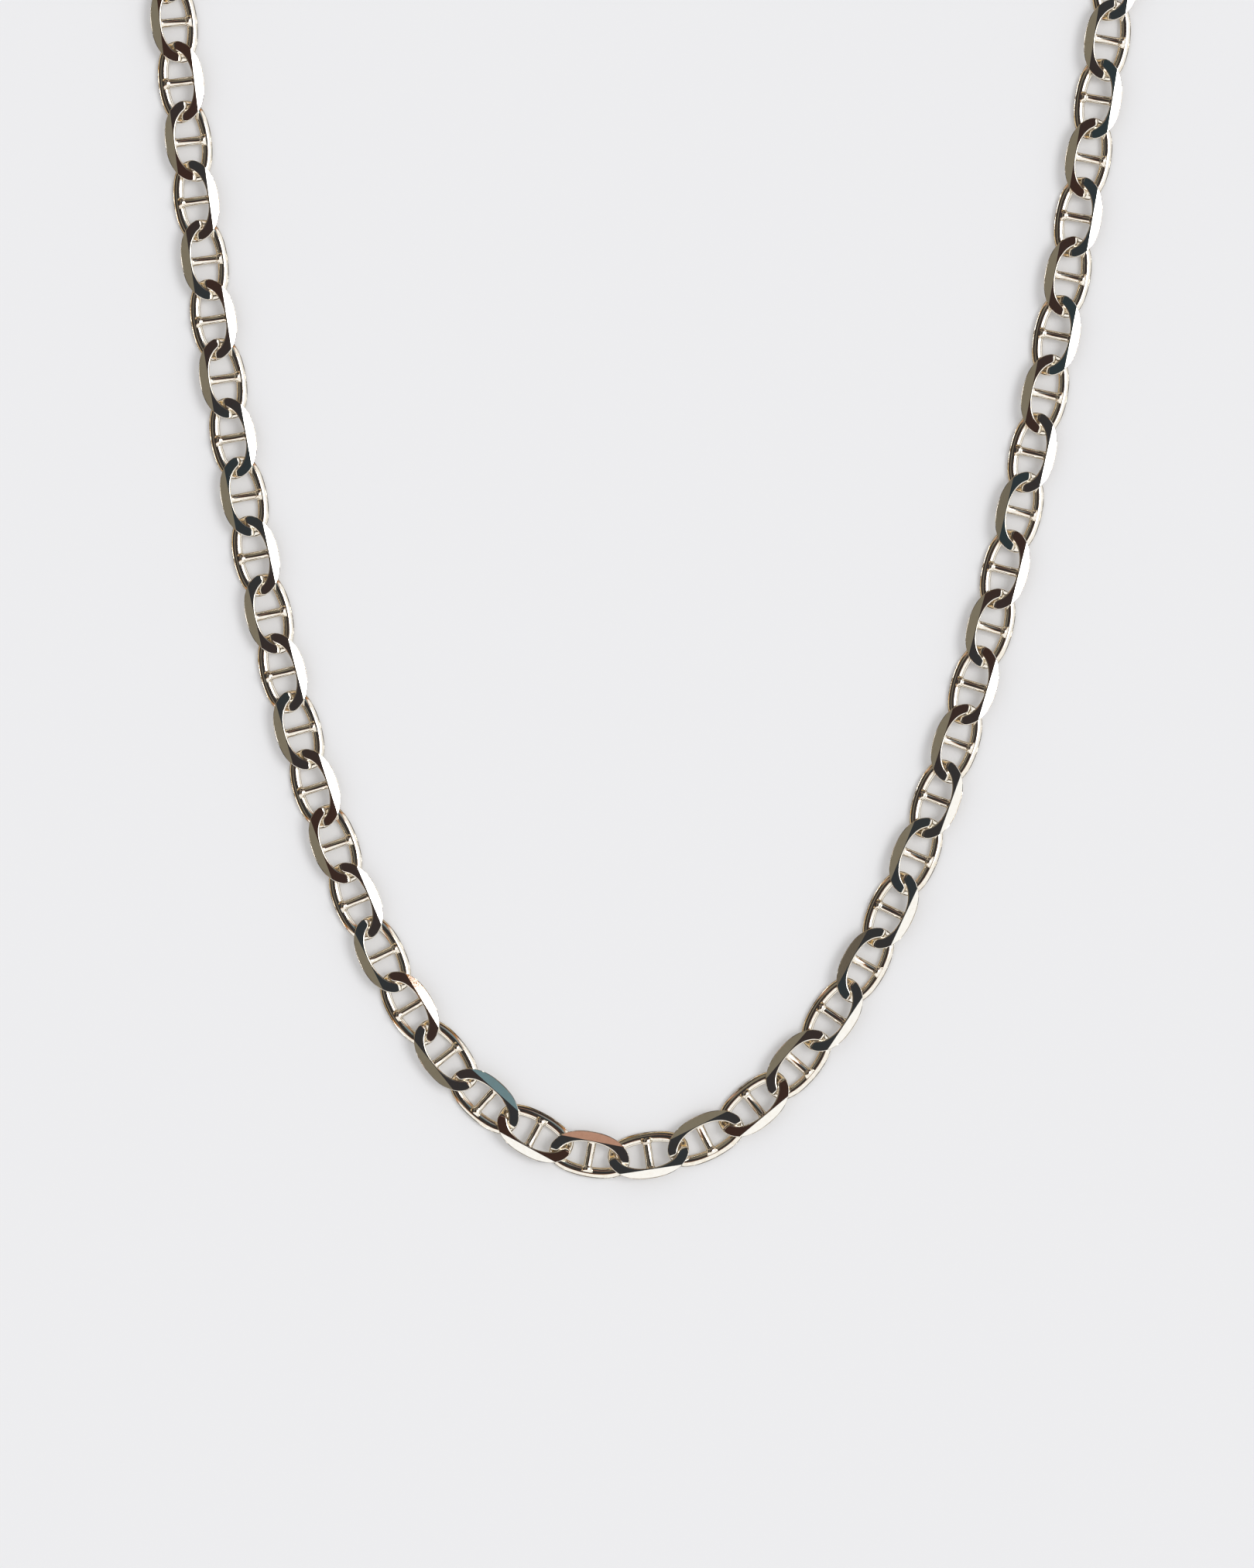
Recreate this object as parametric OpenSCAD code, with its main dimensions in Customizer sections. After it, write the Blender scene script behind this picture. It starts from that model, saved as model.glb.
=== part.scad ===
// Mariner link chain, a 50 cm necklace in silver, hanging as a whole loop.
// Millimetres. The loop hangs in the XZ plane, its worn face looks along -Y, and the origin is
// where the loop bears on what carries it: the underside of the clasp, at the top of the loop.
// Each link is an oval of round wire with one bar across it. The links lie nearly flat, tipped
// alternately left and right, so that each long side (a rail) passes over the next link or under
// it, and the whole chain is planed front and back by a flat cut and two slanting edge cuts.

/* [Link] */
// Length of one link outside, along the chain
link_length = 8.74; // [8.2:0.02:10]
// Width of one link outside, which is the width of the chain
link_width = 5; // [4.6:0.1:6]
// Diameter of the link's round wire before it is planed
wire_d = 1.05; // [0.9:0.05:1.15]
// Diameter of the bar across the middle of the link
bar_d = 0.92; // [0.6:0.02:1.1]

/* [Play] */
// Gap along the chain between the wires of two linked links
link_gap = 0.18; // [0.16:0.01:0.3]
// Gap through the chain's thickness where one wire crosses over the next
crossing_gap = 0.15; // [0.12:0.01:0.25]

/* [Planed faces] */
// Depth that the flat cut takes off the wire, front and back
flat_cut = 0.36; // [0.1:0.01:0.42]
// Width of the slanting cut along each edge of the chain
edge_cut_w = 0.92; // [0.6:0.02:1.1]
// Slant of the edge cuts, in degrees from the chain's face
edge_cut_angle = 20; // [8:1:24]

/* [Loop] */
// Links in each half of the loop, from the lowest joint to the clasp
strand_links = 38; // [30:1:45]
// Radius of the bend at the lowest point of the hanging chain
bend_r = 18.55; // [16:0.05:28]

/* [Clasp] */
// Diameter of the clasp's barrel
clasp_d = 4; // [3:0.1:5]
// Length of the clasp's barrel
clasp_l = 6.2; // [4:0.1:12]
// Radius of the barrel's rounded ends
clasp_round = 1.1; // [0.3:0.1:1.4]
// Diameter of the wire of the clasp's two rings
ring_wire_d = 0.8; // [0.6:0.05:1]
// Width of the hole in each ring
ring_hole = 2.6; // [2.5:0.05:3]

/* [Hidden] */

SILVER = [0.80, 0.80, 0.79];
DEG = 180 / PI;

// The oval of a link is a superellipse: 2 is an ellipse, more is squarer.
OVAL_POWER = 2.4;
// Where the sections of a link's wire stand round one end of the oval, in degrees from its
// outer rail. They are closer at the tip, where two links cross.
END_ANGLES = [0, 37, 69, 90, 111, 143, 180];
HALF = len(END_ANGLES);
STATIONS = 2 * HALF;
// Sides of the wire.
SIDES = 6;

wire_r = wire_d / 2;
bar_r = bar_d / 2;
// The oval that the middle of the wire follows: half its width and half its length.
oval_v = link_width / 2 - wire_r;
oval_u = link_length / 2 - wire_r;
// How far the rails stand before and behind the chain's middle, and how near the end of a
// link, as a share of its half width, its wire has reached that.
rail_w = (wire_d + crossing_gap) / 2;
CROSSING_SHARE = 0.38;
// The planes of the cut: half the chain's thickness, and where the edge cuts begin.
plane_w = rail_w + wire_r - flat_cut;
edge_v = link_width / 2 - edge_cut_w;
flat_angle = min(60, asin(min(1, (plane_w - rail_w) / wire_r)));

// Joint to joint along the chain, for a link and for the clasp.
link_pitch = link_length - 2 * wire_d - link_gap;
ring_r = (ring_hole + ring_wire_d) / 2;
// From a joint to the middle of the clasp's ring, and from there to the barrel's end face.
ring_in = ring_r - (ring_wire_d + link_gap) / 2;
RING_SEAT = 0.35;
clasp_run = clasp_l + 2 * (ring_in + ring_r - RING_SEAT * ring_wire_d);
half_loop = strand_links * link_pitch + clasp_run / 2;

// The loop's line. It hangs as a catenary to cat_end along the line on each side, and closes
// over the top in a round arch that carries on the catenary's slope.
function cat_x(s) = bend_r * ln(s / bend_r + sqrt(pow(s / bend_r, 2) + 1));
function cat_z(s) = sqrt(bend_r * bend_r + s * s) - bend_r;
function arch_r(s) = cat_x(s) / sin(atan(s / bend_r));
function loop_half_length(s) = s + arch_r(s) * (180 - atan(s / bend_r)) / DEG;
function solve_end(lo, hi, n) =
    let (mid = (lo + hi) / 2)
    n == 0 ? mid
    : loop_half_length(mid) > half_loop ? solve_end(lo, mid, n - 1)
    : solve_end(mid, hi, n - 1);

cat_end = solve_end(0.1, half_loop, 40);
arch_radius = arch_r(cat_end);
cat_slope = atan(cat_end / bend_r);

// Points of the right half, [x, z] above the lowest point, at s along the line from there.
function right_point(s) =
    s <= cat_end ? [cat_x(s), cat_z(s)]
    : let (slope = cat_slope + (s - cat_end) / arch_radius * DEG)
      [arch_radius * sin(slope), cat_z(cat_end) + arch_radius * (cos(cat_slope) - cos(slope))];
function loop_point(s) =
    let (p = right_point(abs(s)))
    [sign(s) * p[0], p[1] - lift];

// The clasp's axis, and the height that brings its underside to z = 0.
clasp_z = right_point(half_loop - clasp_run / 2)[1];
lift = clasp_z - clasp_d / 2;

// A link in its own axes: v across the chain, away from the loop's inside, u along the chain,
// w through its thickness, to the front. near is 1 where the outer rail is the front one.
function power(c, p) = sign(c) * pow(abs(c), p);
function station_angle(i) = i < HALF ? END_ANGLES[i] : 180 + END_ANGLES[i - HALF];
function station_u(i) =
    let (u = oval_u * power(sin(station_angle(i)), 2 / OVAL_POWER))
    (i < HALF ? 1 : -1) * max(abs(u), bar_r / 2);
function wire_middle(i, near) =
    let (share = power(cos(station_angle(i)), 2 / OVAL_POWER))
    [oval_v * share, station_u(i), near * rail_w * max(-1, min(1, share / CROSSING_SHARE))];

// Half the chain's thickness at v across it, after planing.
function cut_w(v) = plane_w - max(0, abs(v) - edge_v) * tan(edge_cut_angle);
function planed(p) = [p[0], p[1], max(-cut_w(p[0]), min(cut_w(p[0]), p[2]))];

// Where the corners of the wire's section stand, in degrees from the link's outer edge over
// the front. Two of them sit where the flat cut meets the round wire, in front where the wire
// leans to the front (lean 1) and behind where it leans back (lean -1), and the others share
// the rest of the circle evenly.
function front_corners(flat, step) =
    [flat - step, flat, 180 - flat, 180 - flat + step, 180 - flat + 2 * step, flat - 2 * step];
function corner_angle(j, lean) =
    let (flat = 60 - (60 - flat_angle) * abs(lean), corners = front_corners(flat, (180 + 2 * flat) / 5))
    lean < 0 ? -corners[(SIDES - j) % SIDES] : corners[j];

function section(i, near) =
    let (
        at = wire_middle(i, near),
        along = wire_middle((i + 1) % STATIONS, near) - wire_middle((i + STATIONS - 1) % STATIONS, near),
        outward = [along[1], -along[0], 0] / norm([along[0], along[1]]),
        forward = cross(outward, along / norm(along)),
        lean = at[2] / rail_w,
        // The corner that faces the link's inside is drawn out along a rail to make the bar's side.
        at_bar = i == 0 || i == HALF - 1 ? 1 : i == HALF || i == STATIONS - 1 ? -1 : 0
    )
    [for (j = [0 : SIDES - 1])
        let (a = corner_angle(j, lean))
        planed(at + wire_r * (cos(a) * outward + sin(a) * forward)
            + [0, j == 3 ? at_bar * bar_r / 2 : 0, 0])];

// The ring of corners round the middle of the bar.
bar_section = [for (a = [60, 0, -60, -120, 180, 120]) [0, bar_r * cos(a), bar_r * sin(a)]];

function link_points(near) =
    [for (i = [0 : STATIONS - 1]) each section(i, near), each bar_section];

function ring_index(i, j) = (i % STATIONS) * SIDES + j % SIDES;
function quad(a, b, c, d) = [[a, b, c], [a, c, d]];
// The wall of the wire is open at each rail where the bar joins it.
function opens(i, j) = (i == STATIONS - 1 || i == HALF - 1) && (j == 2 || j == 3);
function wire_faces() =
    [for (i = [0 : STATIONS - 1], j = [0 : SIDES - 1])
        if (!opens(i, j))
            each quad(ring_index(i, j), ring_index(i, j + 1),
                ring_index(i + 1, j + 1), ring_index(i + 1, j))];
BAR_MIDDLE = [for (k = [0 : SIDES - 1]) STATIONS * SIDES + k];
RAIL_OUT = [ring_index(0, 2), ring_index(0, 3), ring_index(0, 4),
    ring_index(STATIONS - 1, 4), ring_index(STATIONS - 1, 3), ring_index(STATIONS - 1, 2)];
RAIL_IN = [ring_index(HALF - 1, 2), ring_index(HALF - 1, 3), ring_index(HALF - 1, 4),
    ring_index(HALF, 4), ring_index(HALF, 3), ring_index(HALF, 2)];
function bar_faces() =
    [for (k = [0 : SIDES - 1])
        let (n = (k + 1) % SIDES)
        each concat(
            quad(RAIL_OUT[n], RAIL_OUT[k], BAR_MIDDLE[k], BAR_MIDDLE[n]),
            quad(BAR_MIDDLE[n], BAR_MIDDLE[k], RAIL_IN[k], RAIL_IN[n]))];
LINK_FACES = concat(wire_faces(), bar_faces());

// A link's points set on the loop between the joints at s0 and s1 along the line.
function placed(points, s0, s1) =
    let (a = loop_point(s0), b = loop_point(s1), u = (b - a) / norm(b - a), mid = (a + b) / 2)
    [for (p = points)
        [mid[0] + p[1] * u[0] + p[0] * u[1], -p[2], mid[1] + p[1] * u[1] - p[0] * u[0]]];

// One half of the chain. Side is -1 for the left half and 1 for the right half.
module strand(side) {
    points = [for (k = [0 : strand_links - 1])
        let (near = side * (k % 2 == 0 ? 1 : -1), first = side > 0 ? k : -k - 1)
        each placed(link_points(near), first * link_pitch, (first + 1) * link_pitch)];
    per_link = STATIONS * SIDES + SIDES;
    faces = [for (k = [0 : strand_links - 1], f = LINK_FACES)
        [for (i = f) i + k * per_link]];
    polyhedron(points, faces);
}

module chain_left() {
    color(SILVER) strand(-1);
}

module chain_right() {
    color(SILVER) strand(1);
}

// A plain closed barrel with a ring at each end, which the last links pass through.
module clasp() {
    half = clasp_l / 2;
    corner = clasp_d / 2 - clasp_round;
    color(SILVER)
    translate([0, 0, clasp_d / 2]) {
        rotate([0, 90, 0])
        rotate_extrude($fn = 64) {
            translate([0, -half + clasp_round]) square([clasp_d / 2, clasp_l - 2 * clasp_round]);
            translate([0, -half]) square([corner, clasp_l]);
            for (end = [-1, 1])
                intersection() {
                    translate([corner, end * (half - clasp_round)]) circle(clasp_round, $fn = 48);
                    translate([0, -half]) square([clasp_d, clasp_l]);
                }
        }
        for (end = [-1, 1])
            translate([end * (clasp_run / 2 - ring_in), 0, 0])
            rotate_extrude($fn = 64)
            translate([ring_r, 0]) circle(ring_wire_d / 2, $fn = 32);
    }
}

chain_left();
chain_right();
clasp();
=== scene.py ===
"""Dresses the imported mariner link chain, in two halves of planed silver links and a clasp.

Adds a backdrop, a room for the silver to mirror, soft light and the camera. Lengths are metres.
"""

import math
import random

import bmesh
import bpy
from bpy.props import FloatProperty, IntProperty, PointerProperty, StringProperty
from mathutils import Matrix, Vector


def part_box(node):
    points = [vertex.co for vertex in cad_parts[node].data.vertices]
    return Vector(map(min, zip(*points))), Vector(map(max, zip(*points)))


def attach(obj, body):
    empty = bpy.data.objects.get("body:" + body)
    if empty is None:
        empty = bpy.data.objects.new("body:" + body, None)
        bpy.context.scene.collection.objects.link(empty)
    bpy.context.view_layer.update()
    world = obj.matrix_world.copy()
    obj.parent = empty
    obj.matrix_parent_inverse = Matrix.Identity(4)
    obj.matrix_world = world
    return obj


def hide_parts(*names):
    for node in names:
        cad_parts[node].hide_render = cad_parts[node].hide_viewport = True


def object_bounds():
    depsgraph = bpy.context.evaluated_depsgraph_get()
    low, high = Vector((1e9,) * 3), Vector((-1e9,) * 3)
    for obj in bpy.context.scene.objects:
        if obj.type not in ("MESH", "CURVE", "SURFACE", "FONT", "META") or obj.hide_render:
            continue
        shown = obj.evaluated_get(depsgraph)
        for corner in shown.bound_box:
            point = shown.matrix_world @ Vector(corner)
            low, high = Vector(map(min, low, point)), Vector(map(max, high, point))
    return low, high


bl_info = {
    "name": "Planed mariner link chain",
    "version": (1, 0, 0),
    "blender": (4, 5, 0),
    "location": "3D view > Sidebar > Chain",
    "description": "A hanging silver necklace of barred oval links, planed front and back",
    "category": "Add Mesh",
}

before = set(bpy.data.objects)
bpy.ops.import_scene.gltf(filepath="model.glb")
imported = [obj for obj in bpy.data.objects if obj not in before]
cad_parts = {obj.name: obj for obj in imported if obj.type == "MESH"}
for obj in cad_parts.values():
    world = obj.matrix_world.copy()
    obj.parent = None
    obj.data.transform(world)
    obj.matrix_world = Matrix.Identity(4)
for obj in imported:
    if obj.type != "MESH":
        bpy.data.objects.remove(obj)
cad_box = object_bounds()

MM = 0.001

# Sections round one link's wire, and corners round each section.
STATIONS = 80
SIDES = 28
# Which corners of a section's front half stand at the edges of its planed faces, counted from its outer
# side to its inner side: the outer wall, the outer edge, the ridge between the two planed faces, the
# inner edge, the inner wall, and the middle of the inner side. The back half mirrors them.
OUTER_WALL, OUTER_EDGE, RIDGE, INNER_EDGE, INNER_WALL, INNER_SIDE = 2, 3, 6, 9, 10, 14
# The least turn between two corners of a section, and of a planed face's edge from the wire's crown.
LEAST_TURN = math.radians(0.6)
LEAST_FACE = math.radians(12)
# Where the crown of a section, the place that stands furthest out, is searched for.
CROWN_TURNS = [math.radians(a) for a in range(30, 151, 2)]
# Steps of halving when a crossing is searched for.
HALVINGS = 40
# How near to a cut's plane a corner counts as lying on it, and the least share that is divided by.
ON_PLANE = 1e-8
TINY = 1e-6
# Nearly half a turn round the oval, in radians, within which a planed face of a rail ends.
NEARLY_HALF = 3
# The oval is a superellipse: 2 is an ellipse, more is squarer.
OVAL_POWER = 2.15
# How near a link's end its wire dives from front to back, as a share of its half width, and how
# sharply it bends there.
DIVE_SHARE = 0.2
DIVE_POWER = 3
# How much taller than the wire a section may be where the wire dives.
MOST_STRETCH = 1.15
# How the lean of a link's ends, and the slope of its wire's front, grow along it.
LEAN_POWER = 3
# At what share of its full depth the wire's front is fully tipped.
TIP_SHARE = 0.6
# How far below a plane, in metres, the wire's corners begin to gather for it.
GATHER = 0.3 * MM
# Sides of the bar, and where it is cut across near its ends to shape its fillets: how many widths of a
# fillet from the rail's inner side. A fillet goes on swelling into the rail to FILLET_MOST widths.
BAR_SIDES = 16
FILLET_CUTS = (0, 1, 0.55, 0.2, -0.25)
FILLET_MOST = 1.4
# Sizes of the silver's patterns: the patches of film, and the spacing and the length of the marks.
FILM_PATCH = 0.5 * MM
MARK_SPACING = 0.05 * MM
MARK_LENGTH = 0.5 * MM
# Draws how each link hangs turned.
SEED = 11


class LinkSizes(bpy.types.PropertyGroup):
    """Sizes of one link."""

    length: FloatProperty(
        name="Length", description="Length of a link outside", default=8.82 * MM, unit="LENGTH", precision=5
    )
    width: FloatProperty(
        name="Width", description="Width of a link outside", default=5 * MM, unit="LENGTH", precision=5
    )
    wire: FloatProperty(
        name="Wire", description="Width of the link's wire before it is planed", default=1.17 * MM,
        unit="LENGTH", precision=5,
    )
    press: FloatProperty(
        name="Press", description="Height of the pressed wire, as a share of its width", default=0.9
    )
    tip: FloatProperty(
        name="Tip", description="Slope that pressing gives a rail's front, down towards the link's inside",
        default=0.2,
    )
    hook_tip: FloatProperty(
        name="Hook tip", description="Slope of the wire's front at the link's ends, down towards its inside",
        default=0.5,
    )
    depth: FloatProperty(
        name="Depth", description="How far the middles of the two rails stand before and behind the link's",
        default=0.62 * MM, unit="LENGTH", precision=5,
    )
    lean: FloatProperty(
        name="Lean", description="How far a link's two ends lean to the side of its back rail",
        default=0.3 * MM, unit="LENGTH", precision=5,
    )
    bar: FloatProperty(
        name="Bar", description="Diameter of the bar across the link", default=0.92 * MM, unit="LENGTH",
        precision=5,
    )
    bar_slope: FloatProperty(
        name="Bar slope", description="Slope of the bar, from the back rail to the front one", default=0.08
    )
    fillet: FloatProperty(
        name="Fillet", description="Width of the solder fillet where the bar meets a rail", default=0.2 * MM,
        unit="LENGTH", precision=5,
    )
    half_thickness: FloatProperty(
        name="Half thickness", description="From the link's middle to the flat cut, front and back",
        default=0.765 * MM, unit="LENGTH", precision=5,
    )
    edge_cut: FloatProperty(
        name="Edge cut", description="Width of the slanting cut along each edge of the chain",
        default=1 * MM, unit="LENGTH", precision=5,
    )
    edge_angle: FloatProperty(
        name="Edge angle", description="Slant of the edge cuts from the chain's face",
        default=math.radians(20), subtype="ANGLE",
    )
    rounding: FloatProperty(
        name="Rounding", description="How wide polishing has rounded the edges of the planed faces",
        default=0.05 * MM, unit="LENGTH", precision=5,
    )


class LoopSizes(bpy.types.PropertyGroup):
    """Sizes of the hanging loop."""

    links: IntProperty(name="Links", description="Links in each half of the loop", default=38)
    pitch: FloatProperty(
        name="Pitch", description="From joint to joint along the chain", default=6.46 * MM, unit="LENGTH",
        precision=5,
    )
    bend: FloatProperty(
        name="Bend", description="Radius of the lowest bend", default=18.55 * MM, unit="LENGTH", precision=5
    )
    clasp_run: FloatProperty(
        name="Clasp run", description="Length of the clasp between its two joints", default=11.46 * MM,
        unit="LENGTH", precision=5,
    )
    play: FloatProperty(
        name="Play", description="How far a link hangs turned from the chain's plane, at most",
        default=math.radians(1.4), subtype="ANGLE",
    )


class SilverFinish(bpy.types.PropertyGroup):
    """Colours of the silver."""

    planed: StringProperty(name="Planed", description="Freshly cut silver, sRGB hex", default="F6F3EC")
    wire: StringProperty(name="Wire", description="Polished wire, sRGB hex", default="F3EEE4")
    tarnish: StringProperty(
        name="Tarnish", description="Faint warm film that lies in patches, sRGB hex", default="E2D2B8"
    )


class StageLook(bpy.types.PropertyGroup):
    """The backdrop, the light and the camera."""

    backdrop: StringProperty(name="Backdrop", description="Pale paper, sRGB hex", default="EDEDEE")
    floor_height: FloatProperty(name="Floor", description="Height of the floor", default=-0.34, unit="LENGTH")
    camera_distance: FloatProperty(
        name="Camera distance", description="From the chain's plane to the camera", default=0.65,
        unit="LENGTH",
    )
    room: FloatProperty(name="Room", description="Strength of the room that the silver mirrors", default=1.05)
    fill: FloatProperty(
        name="Fill", description="Light from all round, as a share of the backdrop's own brightness",
        default=0.9,
    )
    key_strength: FloatProperty(
        name="Key light", description="Strength of the soft light on the right", default=0.95
    )
    key_spread: FloatProperty(
        name="Key spread", description="How wide the soft light is, seen from the chain",
        default=math.radians(30), subtype="ANGLE",
    )


def signed_power(value, power):
    """The power of a number's size, with the number's own sign."""
    return math.copysign(abs(value) ** power, value)


def halve(low, high, is_low):
    """The place between low and high where is_low turns false."""
    for _ in range(HALVINGS):
        middle = (low + high) / 2
        if is_low(middle):
            low = middle
        else:
            high = middle
    return (low + high) / 2


class LoopLine:
    """The line through the middle of the chain: a catenary, closed over the top by a round arch.

    Lengths along it start at the lowest point, and are negative on the left.
    """

    def __init__(self, loop, clasp_height):
        self.bend = loop.bend
        half = loop.links * loop.pitch + loop.clasp_run / 2
        self.end = halve(self.bend / 100, half, lambda s: self.closed_length(s) < half)
        self.slope = math.atan2(self.end, self.bend)
        self.radius = self.arch_radius(self.end)
        self.lift = self.right_half(half - loop.clasp_run / 2).y - clasp_height

    def catenary(self, s):
        return Vector((self.bend * math.asinh(s / self.bend), math.hypot(self.bend, s) - self.bend))

    def arch_radius(self, s):
        return self.catenary(s).x / math.sin(math.atan2(s, self.bend))

    def closed_length(self, s):
        return s + self.arch_radius(s) * (math.pi - math.atan2(s, self.bend))

    def right_half(self, s):
        if s <= self.end:
            return self.catenary(s)
        slope = self.slope + (s - self.end) / self.radius
        rise = self.radius * (math.cos(self.slope) - math.cos(slope))
        return Vector((self.radius * math.sin(slope), self.catenary(self.end).y + rise))

    def point(self, s):
        """Where the line is, s metres from the lowest point."""
        across, height = self.right_half(abs(s))
        return Vector((math.copysign(across, s), 0, height - self.lift))


def cut_depth(link, v):
    """Half the chain's thickness at v across it, after planing."""
    past = max(0, abs(v) - (link.width / 2 - link.edge_cut))
    return link.half_thickness - past * math.tan(link.edge_angle)


def wire_middle(link, turn):
    """The middle of a link's wire, at a turn round its oval: x across, y along, z to the front."""
    share = signed_power(math.cos(turn), 2 / OVAL_POWER)
    end_share = signed_power(math.sin(turn), 2 / OVAL_POWER)
    dive = share / DIVE_SHARE
    return Vector(
        (
            (link.width - link.wire) / 2 * share - link.lean * abs(end_share) ** LEAN_POWER,
            (link.length - link.wire) / 2 * end_share,
            link.depth * dive / (1 + abs(dive) ** DIVE_POWER) ** (1 / DIVE_POWER),
        )
    )


class Section:
    """An upright section of a link's wire, at a turn round the oval.

    Corners are given by their turn round the wire: 0 is the outer side, a quarter is the front, a
    half is the inner side.
    """

    def __init__(self, link, turn):
        self.link = link
        self.middle = wire_middle(link, turn)
        # The wire's direction is taken over an eighth of the turn to the next section, each way.
        step = math.tau / STATIONS / 8
        along = wire_middle(link, turn + step) - wire_middle(link, turn - step)
        self.outward = Vector((along.y, -along.x, 0)).normalized()
        stretch = min(MOST_STRETCH, along.length / along.xy.length)
        self.radius = link.wire / 2
        end_share = abs(self.middle.y) / (link.length - link.wire) * 2
        self.tip = link.tip + (link.hook_tip - link.tip) * end_share ** LEAN_POWER
        self.height = self.radius * link.press * stretch
        self.crowns = {side: max(CROWN_TURNS, key=lambda a: self.proud(a, side)) for side in (1, -1)}
        front, back = self.half(1), self.half(-1)
        outer = front[0] - back[0]
        self.corners = [outer, *front[1:], *(-a for a in back[:0:-1])]

    def on_wire(self, a, side=1):
        """The place at turn a on the wire, seen from the front (side 1) or mirrored from the back (-1)."""
        out = self.radius * math.cos(a)
        p = self.middle + out * self.outward
        p.z *= side
        front = max(-1, min(1, p.z / self.link.depth / TIP_SHARE))
        p.z += self.height * math.sin(a) + self.tip * out * (front + abs(front) * math.sin(a)) / 2
        return p

    def proud(self, a, side):
        """How far the wire stands proud of the planed faces at turn a."""
        p = self.on_wire(a, side)
        return p.z - cut_depth(self.link, p.x)

    def is_planed(self, side):
        """True if the front (side 1) or the back (-1) of the section is planed."""
        return self.proud(self.crowns[side], side) > 0

    def ridge_turn(self, first):
        """Turn of the ridge between the planed faces, or None if it isn't on the inner side of turn first."""
        reach = (self.link.width / 2 - self.link.edge_cut - abs(self.middle.x)) / self.radius
        spread = max(abs(self.outward.x), TINY)
        return math.acos(max(-1, reach / spread)) if reach < spread * math.cos(first) else None

    def is_ridged(self, side):
        """True if the ridge shows on the front (side 1) or the back (-1)."""
        return self.is_planed(side) and self.ridge_turn(self.inset(self.edge_turn(side, 1), 1)) is not None

    def edge_turn(self, side, way):
        """Turn at which the planed face ends on the outer side (way 1) or the inner side (way -1)."""
        top = self.crowns[side]
        away = halve(0, math.pi - LEAST_FACE, lambda d: self.proud(top - way * d, side) > 0)
        return top - way * max(away, LEAST_FACE)

    def inset(self, a, way):
        """The corner at turn a, moved in over the planed face by the rounding of its edge."""
        share = math.cos(a) - way * self.link.rounding / self.radius
        return math.acos(max(-1, min(1, share)))

    def half(self, side):
        """Turns of the corners of the front half (side 1) or the back half (-1), outer side first."""
        outer, inner = self.edge_turn(side, 1), self.edge_turn(side, -1)
        wall = self.link.rounding / self.radius
        first, last = self.inset(outer, 1), self.inset(inner, -1)
        if last - first < (INNER_EDGE - OUTER_EDGE) * LEAST_TURN:
            first, last = outer, inner
        ridge = self.ridge_turn(first) or first
        least = (RIDGE - OUTER_EDGE) * LEAST_TURN
        ridge = max(first + least, min(last - least, ridge))
        knots = [
            (0, min(0, outer - OUTER_WALL * wall)),
            (OUTER_WALL, outer - wall),
            (OUTER_EDGE, first),
            (RIDGE, ridge),
            (INNER_EDGE, last),
            (INNER_WALL, inner + wall),
            (INNER_SIDE, math.pi),
        ]
        share = max(0, min(1, 1 + self.proud(self.crowns[side], side) / GATHER))
        turns = []
        for (a, turn_a), (b, turn_b) in zip(knots, knots[1:]):
            for j in range(a, b):
                planed = turn_a + (turn_b - turn_a) * (j - a) / (b - a)
                turns.append(share * planed + (1 - share) * math.pi * j / INNER_SIDE)
        return turns + [math.pi] if side > 0 else turns

    def corner(self, j):
        """The place of corner j, cut back to the planed faces."""
        p = self.on_wire(self.corners[j])
        limit = cut_depth(self.link, p.x)
        p.z = max(-limit, min(limit, p.z))
        return p


def on_cut(link, face):
    """True if a face lies in one of the planed faces."""
    return all(abs(abs(v.co.z) - cut_depth(link, v.co.x)) < ON_PLANE for v in face.verts)


def section_turns(link):
    """Turns of the sections round the oval, some of them moved to where a planed face or its ridge ends."""
    turns = [math.tau * i / STATIONS for i in range(STATIONS)]
    for start, side in ((0, 1), (math.pi, -1)):
        for shows in (Section.is_planed, Section.is_ridged):
            away = halve(0, NEARLY_HALF, lambda t: shows(Section(link, start + t), side))
            for turn in (start + away, start - away):
                turns[round(turn / math.tau * STATIONS) % STATIONS] = turn
    return turns


def add_ring(bm, link):
    """Spins a section into a ring, draws the ring out to the link's oval and planes it.

    The ring is spun at any size, since each of its corners is then put in its place on the link.
    """
    spun = 3
    circle = bmesh.ops.create_circle(bm, segments=SIDES, radius=1)["verts"]
    stand = Matrix.Translation((spun, 0, 0)) @ Matrix.Rotation(math.pi / 2, 4, "X")
    bmesh.ops.transform(bm, matrix=stand, verts=circle)
    edges = {e for v in circle for e in v.link_edges}
    bmesh.ops.spin(
        bm, geom=circle + list(edges), cent=(0, 0, 0), axis=(0, 0, 1), angle=math.tau, steps=STATIONS,
        use_merge=True,
    )
    sections = [Section(link, turn) for turn in section_turns(link)]
    for v in bm.verts:
        turn = math.atan2(v.co.y, v.co.x)
        corner = math.atan2(v.co.z, math.hypot(v.co.x, v.co.y) - spun)
        i = round(turn / math.tau * STATIONS) % STATIONS
        j = round(corner / math.tau * SIDES) % SIDES
        v.co = sections[i].corner(j)
    bmesh.ops.recalc_face_normals(bm, faces=bm.faces)


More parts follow.
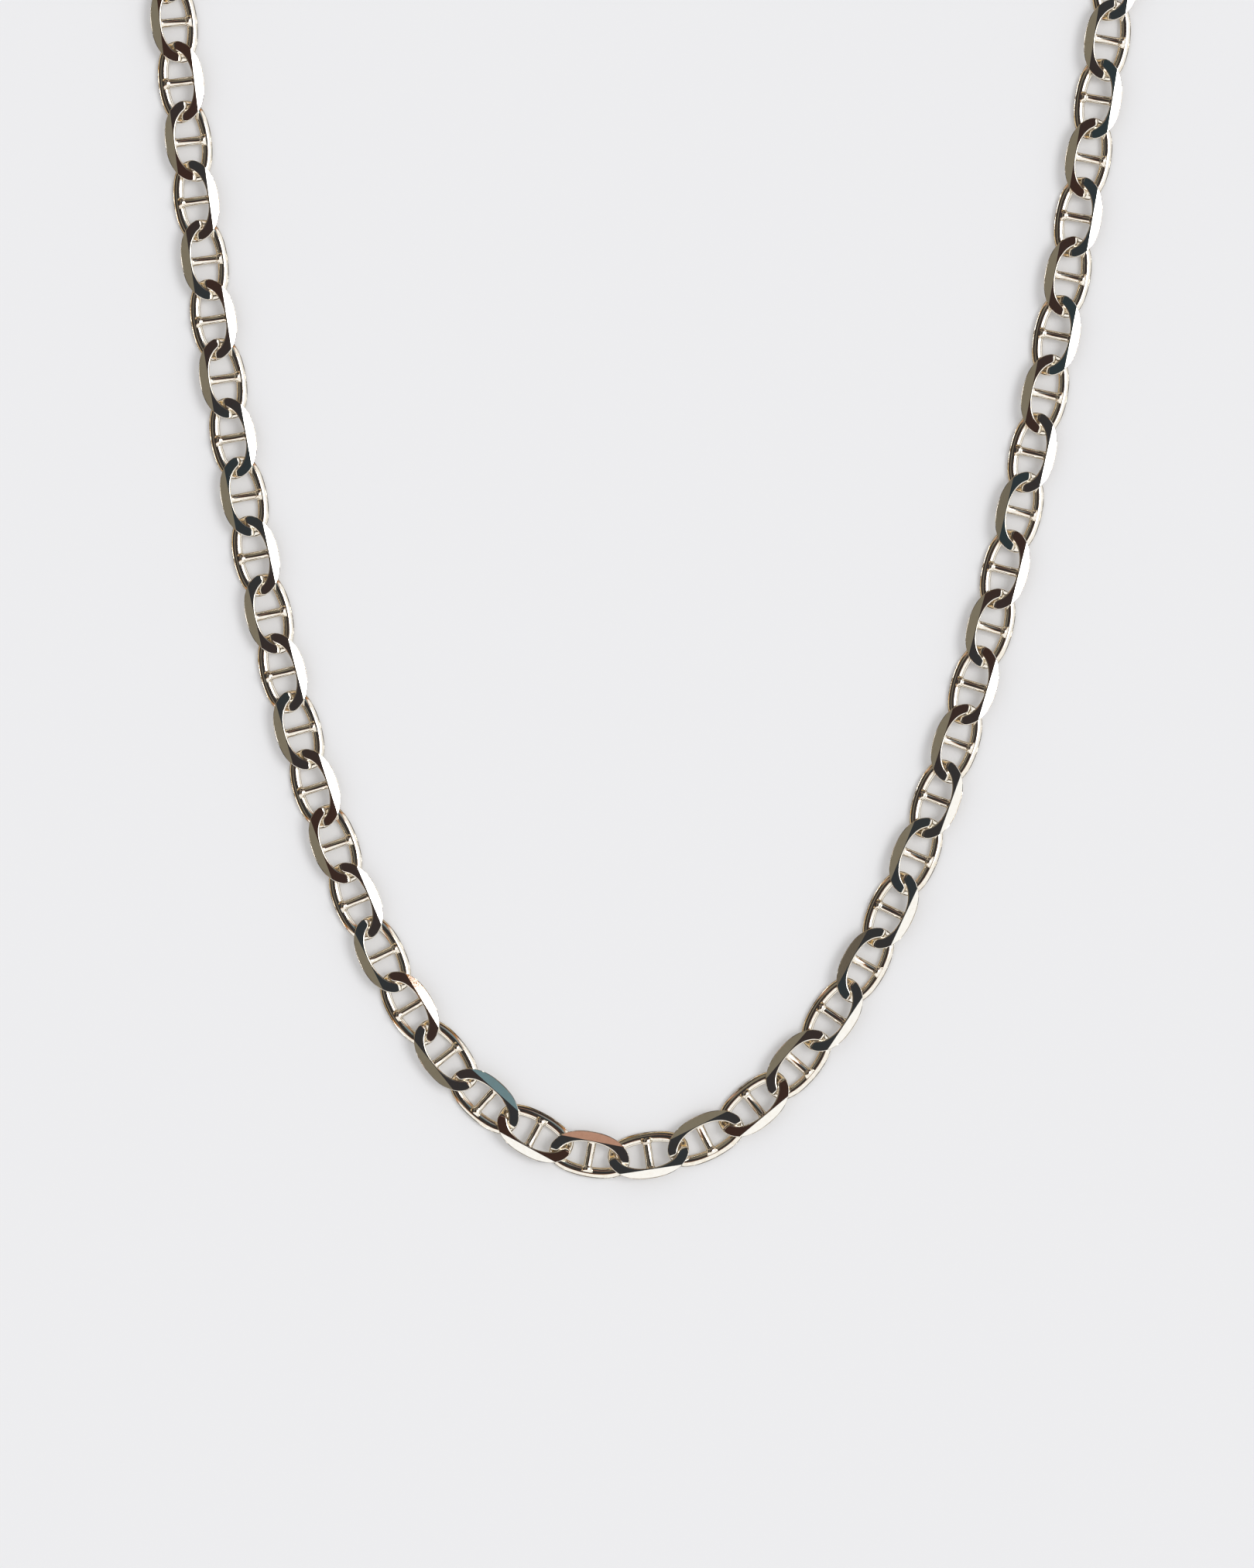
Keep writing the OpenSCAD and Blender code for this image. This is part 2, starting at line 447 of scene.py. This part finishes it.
def add_bar(bm, link):
    """Sets a bar across the link, from inside one rail to inside the other, with a fillet at each end."""
    half = (link.width - link.wire) / 2
    bar = bmesh.ops.create_cone(
        bm, cap_ends=True, segments=BAR_SIDES, radius1=link.bar / 2, radius2=link.bar / 2, depth=2 * half
    )["verts"]
    turned = Matrix.Rotation(math.pi / 2, 4, "Y")
    bmesh.ops.transform(bm, matrix=turned, verts=bar)
    rail = link.width / 2 - link.wire
    fillet = link.fillet
    for at in FILLET_CUTS:
        for side in (-1, 1):
            geom = [g for v in bar for g in (v, *v.link_edges, *v.link_faces)]
            cut = bmesh.ops.bisect_plane(
                bm, geom=list(set(geom)), plane_co=(side * (rail - at * fillet), 0, 0), plane_no=(1, 0, 0)
            )
            bar += [g for g in cut["geom_cut"] if isinstance(g, bmesh.types.BMVert)]
    for v in set(bar):
        near = max(0, min(FILLET_MOST, 1 - (rail - abs(v.co.x)) / fillet))
        swell = 1 + near * near * fillet / link.bar
        v.co.y *= swell
        v.co.z = v.co.z * swell + link.bar_slope * v.co.x
        limit = cut_depth(link, v.co.x) - link.rounding
        v.co.z = max(-limit, min(limit, v.co.z))


def make_link(link, mirrored):
    """A link as a mesh at the origin, its front rail outward, or inward if mirrored."""
    bm = bmesh.new()
    add_ring(bm, link)
    for face in bm.faces:
        planed = on_cut(link, face)
        face.material_index = int(planed)
        face.smooth = not planed
    ring = set(bm.faces)
    add_bar(bm, link)
    for face in set(bm.faces) - ring:
        face.smooth = len(face.verts) < BAR_SIDES
    if mirrored:
        bmesh.ops.scale(bm, vec=(-1, 1, 1), verts=bm.verts)
        bmesh.ops.reverse_faces(bm, faces=bm.faces)
    mesh = bpy.data.meshes.new("link")
    bm.to_mesh(mesh)
    bm.free()
    return mesh


def link_place(line, first, last, roll, pitch):
    """The place of a link between two joints, given along the line, hanging turned by roll and pitch."""
    a, b = line.point(first), line.point(last)
    along = (b - a).normalized()
    across = Vector((along.z, 0, -along.x))
    front = Vector((0, -1, 0))
    turned = Matrix((across, along, front)).transposed().to_4x4()
    hang = Matrix.Rotation(roll, 4, "Y") @ Matrix.Rotation(pitch, 4, "X")
    return Matrix.Translation((a + b) / 2) @ turned @ hang


def linear(code):
    """An sRGB hex colour as linear RGBA."""
    values = [int(code[i : i + 2], 16) / 255 for i in (0, 2, 4)]
    return [c / 12.92 if c <= 0.04045 else ((c + 0.055) / 1.055) ** 2.4 for c in values] + [1]


def add_node(tree, kind, inputs=None, links=None, **settings):
    """Adds a node, sets its properties and inputs, and links its inputs to the sockets given."""
    node = tree.nodes.new(kind)
    for name, value in settings.items():
        setattr(node, name, value)
    for name, value in (inputs or {}).items():
        node.inputs[name].default_value = value
    for name, socket in (links or {}).items():
        tree.links.new(socket, node.inputs[name])
    return node


def silver(name, metal, film, film_share, roughness, scratch_depth):
    """Polished sterling silver, with a faint warm film in patches, and fine polishing marks.

    The marks are streaks 0.05 mm apart and about ten times as long, drawn coarser than the real ones,
    which are under a hundredth of a millimetre.
    """
    material = bpy.data.materials.new(name)
    material.use_nodes = True
    tree = material.node_tree
    tree.nodes.clear()
    place = add_node(tree, "ShaderNodeTexCoord").outputs["Object"]
    patches = add_node(
        tree, "ShaderNodeTexNoise", {"Scale": 1 / FILM_PATCH, "Detail": 4, "Roughness": 0.6},
        {"Vector": place},
    ).outputs["Fac"]
    share = add_node(
        tree, "ShaderNodeMapRange", {"From Min": 0.42, "From Max": 0.72, "To Min": 0, "To Max": film_share},
        {"Value": patches},
    ).outputs["Result"]
    colour = add_node(
        tree, "ShaderNodeMix", {"A": linear(metal), "B": linear(film)}, {"Factor": share}, data_type="RGBA"
    )
    stretched = add_node(
        tree, "ShaderNodeMapping", {"Scale": (1 / MARK_SPACING, 1 / MARK_SPACING, 1 / MARK_LENGTH)},
        {"Vector": place},
    ).outputs["Vector"]
    marks = add_node(
        tree, "ShaderNodeTexNoise", {"Scale": 1, "Detail": 2}, {"Vector": stretched}
    ).outputs["Fac"]
    rough = add_node(
        tree, "ShaderNodeMapRange",
        {"From Min": 0.3, "From Max": 0.7, "To Min": roughness * 0.6, "To Max": roughness * 1.5},
        {"Value": patches},
    ).outputs["Result"]
    bump = add_node(
        tree, "ShaderNodeBump", {"Strength": 1, "Distance": scratch_depth}, {"Height": marks}
    ).outputs["Normal"]
    shader = add_node(
        tree, "ShaderNodeBsdfPrincipled", {"Metallic": 1},
        {"Base Color": colour.outputs["Result"], "Roughness": rough, "Normal": bump},
    )
    add_node(tree, "ShaderNodeOutputMaterial", None, {"Surface": shader.outputs["BSDF"]})
    return material


def silver_pair(finish):
    """The drawn and polished wire, and the faces planed with a diamond tool, which stay mirror bright."""
    names = ("polished_silver_wire", "planed_silver")
    if names[0] in bpy.data.materials:
        return [bpy.data.materials[n] for n in names]
    wire = silver(
        names[0], finish.wire, finish.tarnish, film_share=0.5, roughness=0.09, scratch_depth=0.002 * MM
    )
    planed = silver(
        names[1], finish.planed, finish.tarnish, film_share=0.15, roughness=0.035, scratch_depth=0.0005 * MM
    )
    return [wire, planed]


class CHAIN_OT_strands(bpy.types.Operator):
    """Make the two halves of the chain"""

    bl_idname = "chain.strands"
    bl_label = "Make the strands"

    def execute(self, context):
        link = context.scene.chain_link
        loop = context.scene.chain_loop
        low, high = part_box("clasp")
        line = LoopLine(loop, (low.z + high.z) / 2)
        kinds = {near: make_link(link, near < 0) for near in (1, -1)}
        chance = random.Random(SEED)
        for node, side in (("chain_left", -1), ("chain_right", 1)):
            bm = bmesh.new()
            for k in range(loop.links):
                near = side * (1 if k % 2 == 0 else -1)
                first = k if side > 0 else -k - 1
                count = len(bm.verts)
                bm.from_mesh(kinds[near])
                bm.verts.ensure_lookup_table()
                place = link_place(
                    line, first * loop.pitch, (first + 1) * loop.pitch, chance.uniform(-1, 1) * loop.play,
                    chance.uniform(-1, 1) * loop.play / 2,
                )
                bmesh.ops.transform(bm, matrix=place, verts=bm.verts[count:])
            mesh = bpy.data.meshes.new(node + "_links")
            bm.to_mesh(mesh)
            bm.free()
            for material in silver_pair(context.scene.chain_finish):
                mesh.materials.append(material)
            strand = bpy.data.objects.new(node + "_links", mesh)
            context.scene.collection.objects.link(strand)
            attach(strand, "root")
            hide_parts(node)
        for mesh in kinds.values():
            bpy.data.meshes.remove(mesh)
        return {"FINISHED"}


class CHAIN_OT_clasp(bpy.types.Operator):
    """Give the clasp its polished silver"""

    bl_idname = "chain.clasp"
    bl_label = "Finish the clasp"

    def execute(self, context):
        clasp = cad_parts["clasp"]
        clasp.data.materials.clear()
        clasp.data.materials.append(silver_pair(context.scene.chain_finish)[0])
        return {"FINISHED"}


# The photograph: its size in pixels, where the lowest point of the chain's middle line is on it, how
# many metres one pixel is at the chain, and how far the chain's upright leans to the right on it.
IMAGE_SIZE = (1620, 2025)
LOWEST_PIXEL = (799.9, 1497.9)
PIXEL = 0.0834 * MM
LEAN = 0.019
SENSOR = 0.036
# The way from the chain to the middle of the soft light.
KEY = (0.6, -0.79, 0.08)
# How far to the left of the camera, seen from the chain, the curtain hangs, and how high the shelf is
# above it, as a sine.
CURTAIN = math.radians(41)
SHELF = 0.625
# The ways from the chain to the white wall, the blue-green screen and the olive panel.
WALL = (0.85, 0, -0.53)
SCREEN = (0.42, -0.79, 0.45)
PANEL = (-0.33, -0.79, 0.52)


class CHAIN_OT_stage(bpy.types.Operator):
    """Set up the backdrop, the light and the camera"""

    bl_idname = "chain.stage"
    bl_label = "Set the stage"

    def execute(self, context):
        look = context.scene.chain_stage
        context.scene.view_settings.view_transform = "Standard"
        self.paper(context, look)
        self.light(context, look)
        self.room(context, look)
        self.camera(context, look)
        return {"FINISHED"}

    def paper(self, context, look):
        """A sheet of paper that hangs close behind the chain and runs out below it as the floor.

        Its upper part leans back a little, clear of the clasp.
        """
        link_gap, clasp_gap = 0.1 * MM, 0.2 * MM
        wide, deep, tall, bend, crease = 1.2, 1.6, 0.25, 0.07, -0.06
        near = context.scene.chain_link.half_thickness + link_gap
        slope = (cad_box[1].y + clasp_gap - near) / -crease
        base = look.floor_height
        bm = bmesh.new()
        start = bm.verts.new((-wide, near + slope * (tall - crease), tall))
        crest = bm.verts.new((-wide, near, crease))
        foot = bm.verts.new((-wide, near, base + bend))
        bm.edges.new((start, crest))
        bm.edges.new((crest, foot))
        bmesh.ops.spin(
            bm, geom=[foot], cent=foot.co - Vector((0, bend, 0)), axis=(1, 0, 0), angle=-math.pi / 2, steps=16
        )
        bm.verts.ensure_lookup_table()
        end = min(bm.verts, key=lambda v: v.co.y)
        out = bmesh.ops.extrude_vert_indiv(bm, verts=[end])["verts"]
        bmesh.ops.translate(bm, vec=(0, -deep, 0), verts=out)
        sheet = bmesh.ops.extrude_edge_only(bm, edges=bm.edges[:])["geom"]
        moved = [g for g in sheet if isinstance(g, bmesh.types.BMVert)]
        bmesh.ops.translate(bm, vec=(2 * wide, 0, 0), verts=moved)
        bmesh.ops.recalc_face_normals(bm, faces=bm.faces)
        if min(bm.faces, key=lambda f: abs(f.calc_center_median().z)).normal.y > 0:
            bmesh.ops.reverse_faces(bm, faces=bm.faces)
        for face in bm.faces:
            face.smooth = True
        mesh = bpy.data.meshes.new("paper_backdrop")
        bm.to_mesh(mesh)
        bm.free()
        mesh.materials.append(self.paper_material(look))
        paper = bpy.data.objects.new("paper_backdrop", mesh)
        context.scene.collection.objects.link(paper)
        paper.visible_glossy = False
        paper.visible_diffuse = False
        paper.visible_shadow = False

    def paper_material(self, look):
        """Matt paper, which takes soft shadows and has no gloss.

        It has only a front, so that the back of the chain can be seen past it.
        """
        material = bpy.data.materials.new("matt_paper")
        material.use_nodes = True
        tree = material.node_tree
        tree.nodes.clear()
        front = add_node(tree, "ShaderNodeBsdfDiffuse", {"Color": linear(look.backdrop)})
        back = add_node(tree, "ShaderNodeBsdfTransparent")
        side = add_node(tree, "ShaderNodeNewGeometry").outputs["Backfacing"]
        mixed = add_node(
            tree, "ShaderNodeMixShader", None, {0: side, 1: front.outputs["BSDF"], 2: back.outputs["BSDF"]}
        )
        add_node(tree, "ShaderNodeOutputMaterial", None, {"Surface": mixed.outputs["Shader"]})
        return material

    def light(self, context, look):
        """A large soft light on the right, far enough off to light the whole chain alike."""
        data = bpy.data.lights.new("soft_key", "SUN")
        data.energy = look.key_strength
        data.angle = look.key_spread
        key = bpy.data.objects.new("soft_key", data)
        key.rotation_mode = "QUATERNION"
        key.rotation_quaternion = Vector(KEY).to_track_quat("Z", "Y")
        context.scene.collection.objects.link(key)

    def room(self, context, look):
        """A white wall on the right and a white floor, each with a warm hem, in a dark room.

        An olive curtain hangs on the left, an olive panel above it and a blue-green screen high on the
        right, with a narrow shelf between the two. Warm cloth with a dark gap closes the back. The silver
        mirrors all this, and the matt paper gets an even light. The table gives where each thing begins
        and where it is whole, on a scale of the cosine of the angle to its way. For the curtain and the
        shelf it is the distance from their middle, on the same scale.
        """
        world = bpy.data.worlds.new("studio")
        world.use_nodes = True
        tree = world.node_tree
        tree.nodes.clear()
        way = add_node(tree, "ShaderNodeTexCoord").outputs["Generated"]
        aside = (math.cos(CURTAIN), -math.sin(CURTAIN), 0)
        wall, floor, behind, screen, panel, past_curtain, above = (
            add_node(
                tree, "ShaderNodeVectorMath", {1: axis}, {0: way}, operation="DOT_PRODUCT"
            ).outputs["Value"]
            for axis in (WALL, (0, 0, -1), (0, 1, 0), SCREEN, PANEL, aside, (0, 0, 1))
        )
        past_shelf = add_node(
            tree, "ShaderNodeMath", {1: SHELF}, {0: above}, operation="SUBTRACT"
        ).outputs["Value"]
        curtain, shelf = (
            add_node(tree, "ShaderNodeMath", None, {0: past}, operation="ABSOLUTE").outputs["Value"]
            for past in (past_curtain, past_shelf)
        )
        patches = add_node(
            tree, "ShaderNodeTexNoise", {"Scale": 14, "Detail": 1}, {"Vector": way}
        ).outputs["Fac"]
        room = add_node(tree, "ShaderNodeRGB").outputs["Color"]
        room.default_value = linear("3C2A24")
        for place, start, end, colour in (
            (patches, 0.4, 0.6, "2E383D"),
            (screen, 0.96, 0.975, "6C868E"),
            (shelf, 0.05, 0.035, "B88E7A"),
            (panel, 0.96, 0.975, "7C7566"),
            (curtain, 0.17, 0.12, "7C7566"),
            (behind, 0.08, 0.16, "C9A468"),
            (behind, 0.3, 0.36, "E2D9C8"),
            (wall, 0.2, 0.23, "B4783C"),
            (floor, 0.53, 0.56, "B4783C"),
            (wall, 0.26, 0.3, "FFFFFF"),
            (floor, 0.6, 0.63, "FFFFFF"),
            (behind, 0.48, 0.54, "4E433A"),
            (behind, 0.84, 0.88, "E2D9C8"),
        ):
            share = add_node(
                tree, "ShaderNodeMapRange", {"From Min": start, "From Max": end}, {"Value": place}
            ).outputs["Result"]
            room = add_node(
                tree, "ShaderNodeMix", {"B": linear(colour)}, {"Factor": share, "A": room}, data_type="RGBA"
            ).outputs["Result"]
        seen = add_node(tree, "ShaderNodeBackground", {"Strength": look.room}, {"Color": room})
        path = add_node(tree, "ShaderNodeLightPath")
        strength = add_node(
            tree, "ShaderNodeMath", {1: 1 - look.fill, 2: look.fill}, {0: path.outputs["Is Camera Ray"]},
            operation="MULTIPLY_ADD",
        ).outputs["Value"]
        pale = add_node(
            tree, "ShaderNodeBackground", {"Color": linear(look.backdrop)}, {"Strength": strength}
        )
        whole = add_node(
            tree, "ShaderNodeMixShader", None,
            {0: path.outputs["Is Glossy Ray"], 1: pale.outputs["Background"], 2: seen.outputs["Background"]},
        )
        add_node(tree, "ShaderNodeOutputWorld", None, {"Surface": whole.outputs["Shader"]})
        context.scene.world = world

    def camera(self, context, look):
        """A long lens square on to the chain, turned a little as the photograph is."""
        low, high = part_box("clasp")
        line = LoopLine(context.scene.chain_loop, (low.z + high.z) / 2)
        right = Vector((math.cos(LEAN), 0, math.sin(LEAN)))
        up = Vector((-math.sin(LEAN), 0, math.cos(LEAN)))
        back = Vector((0, -1, 0))
        aside = (IMAGE_SIZE[0] / 2 - LOWEST_PIXEL[0]) * PIXEL
        above = (LOWEST_PIXEL[1] - IMAGE_SIZE[1] / 2) * PIXEL
        place = line.point(0) + aside * right + above * up + look.camera_distance * back
        data = bpy.data.cameras.new("camera")
        data.sensor_width = SENSOR / MM
        data.lens = SENSOR / MM * look.camera_distance / (IMAGE_SIZE[1] * PIXEL)
        data.clip_start = 0.01
        camera = bpy.data.objects.new("camera", data)
        camera.matrix_world = Matrix.Translation(place) @ Matrix((right, up, back)).transposed().to_4x4()
        context.scene.collection.objects.link(camera)
        context.scene.camera = camera


class CHAIN_PT_panel(bpy.types.Panel):
    """The chain's pieces in the sidebar"""

    bl_idname = "CHAIN_PT_panel"
    bl_label = "Mariner link chain"
    bl_space_type = "VIEW_3D"
    bl_region_type = "UI"
    bl_category = "Chain"

    def draw(self, context):
        for groups, operator in (
            (("chain_link", "chain_loop"), CHAIN_OT_strands),
            (("chain_finish",), CHAIN_OT_clasp),
            (("chain_stage",), CHAIN_OT_stage),
        ):
            for group in groups:
                settings = getattr(context.scene, group)
                for name in GROUPS[group].__annotations__:
                    self.layout.prop(settings, name)
            self.layout.operator(operator.bl_idname)


GROUPS = {
    "chain_link": LinkSizes,
    "chain_loop": LoopSizes,
    "chain_finish": SilverFinish,
    "chain_stage": StageLook,
}
CLASSES = (*GROUPS.values(), CHAIN_OT_strands, CHAIN_OT_clasp, CHAIN_OT_stage, CHAIN_PT_panel)


def register():
    for cls in CLASSES:
        bpy.utils.register_class(cls)
    for name, group in GROUPS.items():
        setattr(bpy.types.Scene, name, PointerProperty(type=group))


def unregister():
    for name in GROUPS:
        delattr(bpy.types.Scene, name)
    for cls in reversed(CLASSES):
        bpy.utils.unregister_class(cls)


def main():
    register()
    bpy.ops.chain.strands()
    bpy.ops.chain.clasp()
    bpy.ops.chain.stage()


if __name__ == "__main__":
    main()
